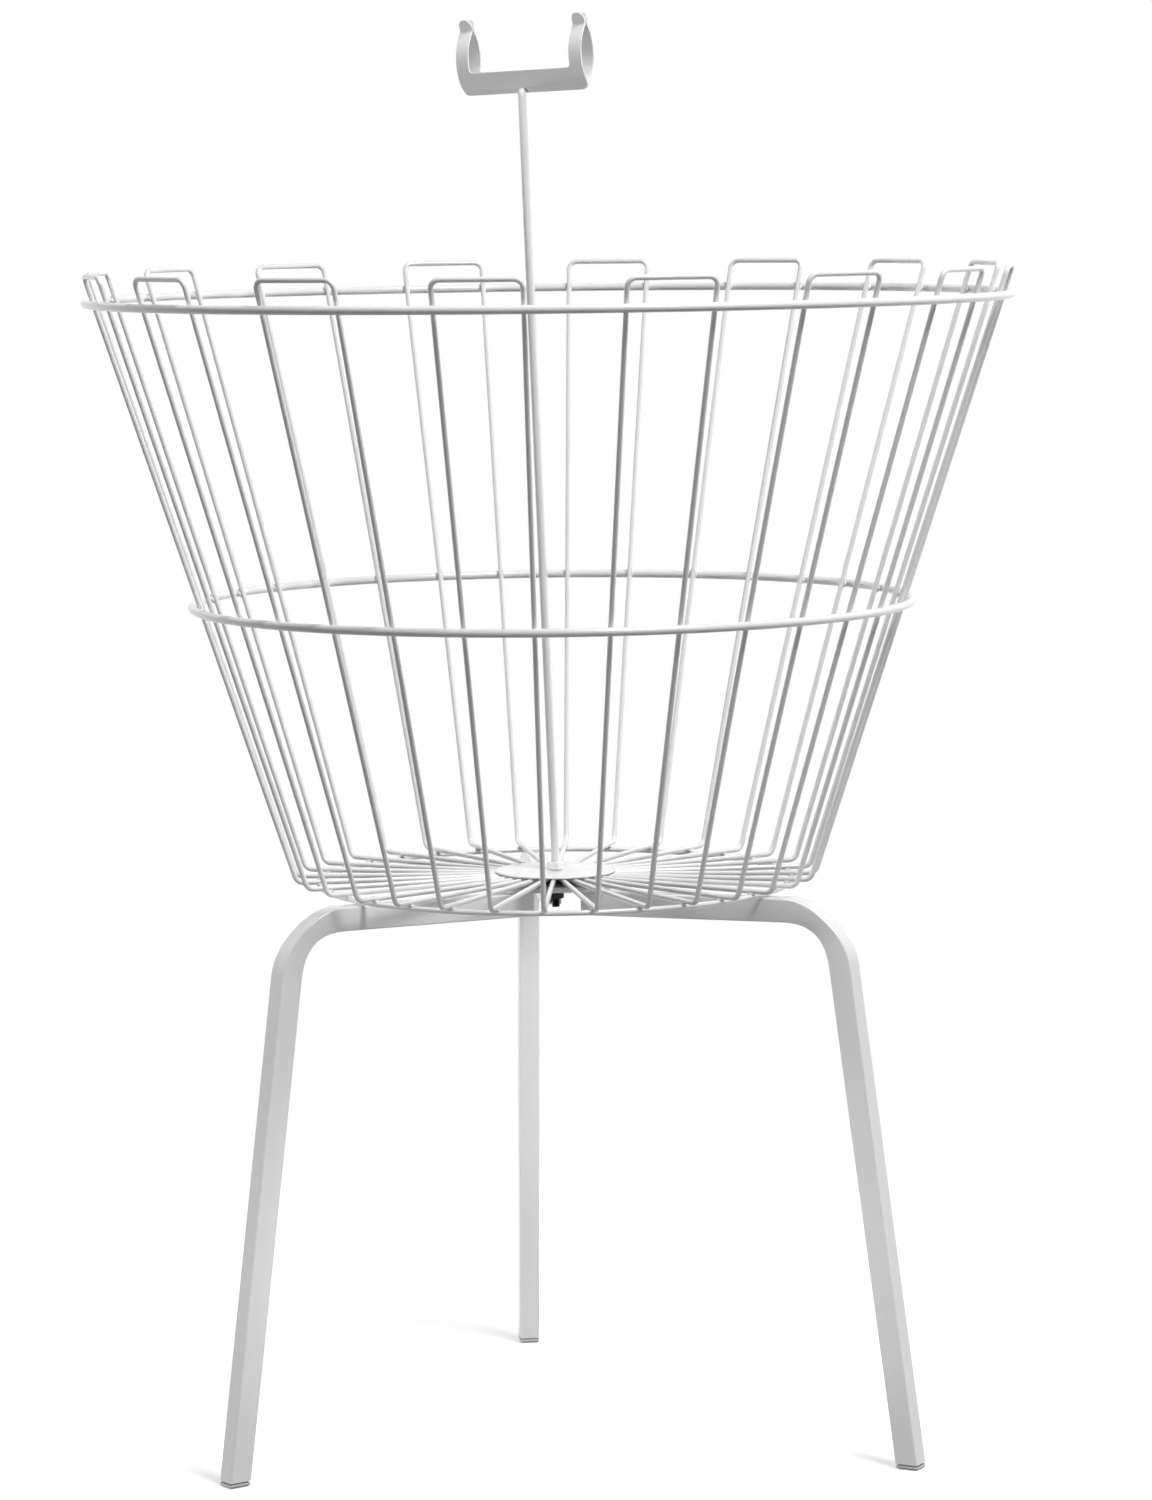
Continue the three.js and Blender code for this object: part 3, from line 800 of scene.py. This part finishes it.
def leaf_grid():
    """A rounded strip of sheet laid between the leaf's two edges, then bent to its section: a point at a
    height takes the section's depth there, plus or minus its share of the sheet's slanted thickness."""
    outer, inner = leaf_edges()
    half = LEAF_THICKNESS / 2
    edge = LEAF_EDGE_ROUND
    turn = np.linspace(0, np.pi / 2, 4)
    flat = np.linspace(0, 1, 22)[1:-1]
    ends = np.concatenate([edge * (1 - np.sin(turn)), edge * (1 - np.cos(turn))])
    lift = np.concatenate([half - edge * (1 - np.cos(turn)), -half + edge * (1 - np.sin(turn))])
    width = np.linalg.norm(outer - inner, axis=-1)[:, None]
    start = np.broadcast_to(ends / width, (len(outer), len(ends)))
    back = np.broadcast_to(flat, (len(outer), len(flat)))
    share = np.concatenate([start, back, 1 - start[:, ::-1], back[:, ::-1]], 1)
    lifts = np.concatenate([lift, np.full(len(flat), -half), lift[::-1], np.full(len(flat), half)])
    front = inner[:, None] + (outer - inner)[:, None] * share[..., None]
    depth, height, slope = leaf_section()
    bend = np.interp(front[..., 1], height, slope)
    y = np.interp(front[..., 1], height, depth) - lifts / np.cos(bend)
    return np.stack([front[..., 0], y, front[..., 1]], -1)


def clip_place(points):
    """Points of the clip's own frame, whose middle lies between the leaves, set behind the post's end."""
    behind = np.array([0.0, POST_RADIUS + LEAF_THICKNESS + 1.5 * FIT_GAP, -POST_CLIP_OVERLAP])
    return leaned(points + behind) + POST_TOP


def make_clip():
    """Two like leaves, back to back, and the welds that hold the front one to the post's tip."""
    leaf = leaf_grid()
    for side, azimuth in (("front", 0.0), ("rear", np.pi)):
        piece = Piece().add(clip_place(turned(leaf, azimuth)))
        piece.make(f"clip_spring_{side}", f"clip_{side}", COAT, "powder_coat", f"clip_leaf_{side}")
    piece = Piece()
    sideways, outward = np.eye(3)[:2]
    for side in (-1, 1):
        centre = np.array([side, 1, 1]) * CLIP_NUGGET_PLACE
        piece.add(clip_place(weld_nugget(centre, UP, sideways, outward, CLIP_NUGGET)))
    piece.make("clip_welds", "basket", WELD, "powder_coat")


make_hairpins()
make_ring("rim_ring")
make_ring("mid_ring")
make_ring("floor_ring")
make_wall_welds("rim_welds", "rim_ring")
make_wall_welds("middle_welds", "mid_ring")
make_floor_welds("floor_welds", "floor_ring")
make_disc()
make_legs()
make_caps()
make_plate()
make_plate_welds()
make_bearing()
make_nut("lock_nut", "disc_nut", COAT, "powder_coat")
make_nut("retaining_nut", "spindle_nut", BLACK_STEEL, "black_steel")
make_post()
make_thread()
make_clip()


# Camera
VIEW_TURN = np.radians(40)
CAMERA_DISTANCE = 3.9125
CAMERA_HEIGHT = 0.9651
CAMERA_YAW = 0.0043
CAMERA_PITCH = -0.1112
CAMERA_ROLL = -0.0118
CAMERA_LENS = 123.485
CAMERA_SENSOR = 36.0
CAMERA_FAR = 50.0
CAMERA_AZIMUTH = VIEW_TURN - np.pi / 2


def make_camera():
    """A level view straight at the axis, changed by yaw, pitch and roll, then turned about the axis."""
    forward = np.array([np.sin(CAMERA_YAW) * np.cos(CAMERA_PITCH),
                        np.cos(CAMERA_YAW) * np.cos(CAMERA_PITCH), np.sin(CAMERA_PITCH)])
    right = np.array([np.cos(CAMERA_YAW), -np.sin(CAMERA_YAW), 0.0])
    top = np.cross(right, forward)
    rolled = right * np.cos(CAMERA_ROLL) + top * np.sin(CAMERA_ROLL)
    top = top * np.cos(CAMERA_ROLL) - right * np.sin(CAMERA_ROLL)
    place = np.array([0.0, -CAMERA_DISTANCE, CAMERA_HEIGHT])
    columns = turned(np.stack([rolled, top, -forward, place]), VIEW_TURN)
    camera = bpy.data.objects.new("camera", bpy.data.cameras.new("camera"))
    camera.data.lens = CAMERA_LENS
    camera.data.sensor_width = CAMERA_SENSOR
    camera.data.clip_end = CAMERA_FAR
    matrix = np.eye(4)
    matrix[:3, :] = columns.T
    camera.matrix_world = Matrix(matrix.tolist())
    bpy.context.scene.collection.objects.link(camera)
    bpy.context.scene.camera = camera


# Stage and light
FLOOR_SIZE = 12.0
FLOOR_FADE = (0.7, 1.3)
FLOOR_TONE = 0.9
FLOOR_GLOW = 0.42
FLOOR_BOUNCE = 0.14
FILL_LIGHT = 0.21
BASKET_MIDDLE = np.array([0.0, 0.0, 0.55])
LAMP_DISTANCE = 3.0
LAMP_RADIUS = 0.06
LEVEL_BEAM = 120.0  # degrees
LEVEL_BLEND = 0.015


def seen(tree):
    """1 on rays from the camera, from mirrors and through glass."""
    outputs = tree.nodes.new("ShaderNodeLightPath").outputs
    names = ("Is Camera Ray", "Is Glossy Ray", "Is Transmission Ray")
    camera, glossy, through = (Socket(tree, outputs[name]) for name in names)
    return camera.either(glossy.either(through))


def grey(value):
    """A grey as a shader colour."""
    return (value, value, value, 1)


def make_floor():
    """A pale floor that looks white away from the object and keeps the object's shadow near it."""
    mesh = bpy.data.meshes.new("floor")
    corner = FLOOR_SIZE / 2
    corners = [(-corner, -corner, 0), (corner, -corner, 0), (corner, corner, 0), (-corner, corner, 0)]
    mesh.from_pydata(corners, [], [(0, 1, 2, 3)])
    material = bpy.data.materials.new("pale_floor")
    material.use_nodes = True
    tree = material.node_tree
    tree.nodes.clear()
    start = Socket(tree, None)
    here = start.node("ShaderNodeTexCoord", result=3)
    distance = here.node("ShaderNodeVectorMath", {0: here}, result=1, operation="LENGTH")
    away = distance.between(*FLOOR_FADE)
    matte = start.node("ShaderNodeBsdfDiffuse", {"Color": grey(FLOOR_TONE)})
    glow = start.node("ShaderNodeEmission", {"Color": grey(1), "Strength": FLOOR_GLOW})
    near = start.node("ShaderNodeAddShader", {0: matte, 1: glow})
    white = start.node("ShaderNodeEmission", {"Color": grey(1), "Strength": 1.0})
    shown = start.node("ShaderNodeMixShader", {0: away, 1: near, 2: white})
    dim = start.node("ShaderNodeBsdfDiffuse", {"Color": grey(FLOOR_BOUNCE)})
    surface = start.node("ShaderNodeMixShader", {0: seen(tree), 1: dim, 2: shown})
    start.node("ShaderNodeOutputMaterial", {"Surface": surface})
    mesh.materials.append(material)
    floor = bpy.data.objects.new("floor", mesh)
    bpy.context.scene.collection.objects.link(floor)


def make_world():
    """White where it is seen, and a soft fill everywhere else."""
    world = bpy.data.worlds.new("studio")
    bpy.context.scene.world = world
    world.use_nodes = True
    tree = world.node_tree
    background = tree.nodes["Background"]
    background.inputs["Color"].default_value = grey(1)
    strength = FILL_LIGHT + seen(tree) * (1 - FILL_LIGHT)
    tree.links.new(strength.output, background.inputs["Strength"])


def hang(name, lamp, place, away):
    """Sets a lamp at a place, with its back to a direction."""
    right = unit(np.cross(UP, away))
    matrix = np.eye(4)
    matrix[:3, :] = np.stack([right, np.cross(away, right), away, place], 1)
    holder = bpy.data.objects.new(name, lamp)
    holder.matrix_world = Matrix(matrix.tolist())
    bpy.context.scene.collection.objects.link(holder)
    return holder


def make_soft_box(name, turn, elevation, distance, size, level):
    """A square soft box aimed at the basket's middle. Turn, from the camera's azimuth, and elevation are
    in degrees. Level is the brightness of a white card there that faces it."""
    lamp = bpy.data.lights.new(name, "AREA")
    lamp.size = size
    lamp.energy = level * np.pi**2 * distance**2
    azimuth, rise = CAMERA_AZIMUTH + np.radians(turn), np.radians(elevation)
    away = polar(np.cos(rise), azimuth, np.sin(rise))
    hang(name, lamp, BASKET_MIDDLE + away * distance, away)


def make_spot(name, turn, height, aim_height, beam, blend, level, distance=LAMP_DISTANCE):
    """A lamp for one part of the object, aimed at the axis, whose beam is cut off. It leaves no glint.

    Turn, from the camera's azimuth, and beam are in degrees. Level is the brightness of a white card that
    faces it, as far off as the basket's middle.
    """
    lamp = bpy.data.lights.new(name, "SPOT")
    lamp.shadow_soft_size = LAMP_RADIUS
    lamp.spot_size = np.radians(beam)
    lamp.spot_blend = blend
    place = polar(distance, CAMERA_AZIMUTH + np.radians(turn), height)
    reach = place - BASKET_MIDDLE
    lamp.energy = level * 4 * np.pi**2 * (reach @ reach)
    holder = hang(name, lamp, place, unit(place - UP * aim_height))
    holder.visible_glossy = False


def make_basket_lamp(name, turn, level, height=0.425, aim_height=5.62):
    """A beam whose lower edge is level, just below the basket's floor."""
    make_spot(name, turn, height, aim_height, LEVEL_BEAM, LEVEL_BLEND, level)


def make_leg_lamp(name, turn, level, height=0.447, aim_height=-4.75):
    """A beam whose upper edge is level, by the basket's floor."""
    make_spot(name, turn, height, aim_height, LEVEL_BEAM, LEVEL_BLEND, level)


make_camera()
make_floor()
make_world()
make_soft_box("key", turn=38, elevation=57, distance=3.2, size=1.0, level=0.9)
make_spot("basket_floor", turn=38, height=4.0, aim_height=0.43, beam=7.4, blend=0.3, level=0.20,
          distance=0.3)
make_basket_lamp("basket_left", turn=-126, level=0.50)
make_basket_lamp("basket_right", turn=116, level=0.58)
make_leg_lamp("legs_left", turn=-95, level=0.33)
make_leg_lamp("legs_front", turn=5, level=0.11)
make_leg_lamp("legs_right", turn=100, level=0.10)
make_leg_lamp("legs_rear", turn=165, level=0.45, height=0.40, aim_height=-4.80)
make_spot("back_leg", turn=4, height=0.36, aim_height=0.14, beam=9, blend=0.15, level=0.38)
make_spot("clip", turn=-45, height=1.0, aim_height=1.10, beam=5.8, blend=0.15, level=0.18)
bpy.context.scene.view_settings.view_transform = "Standard"
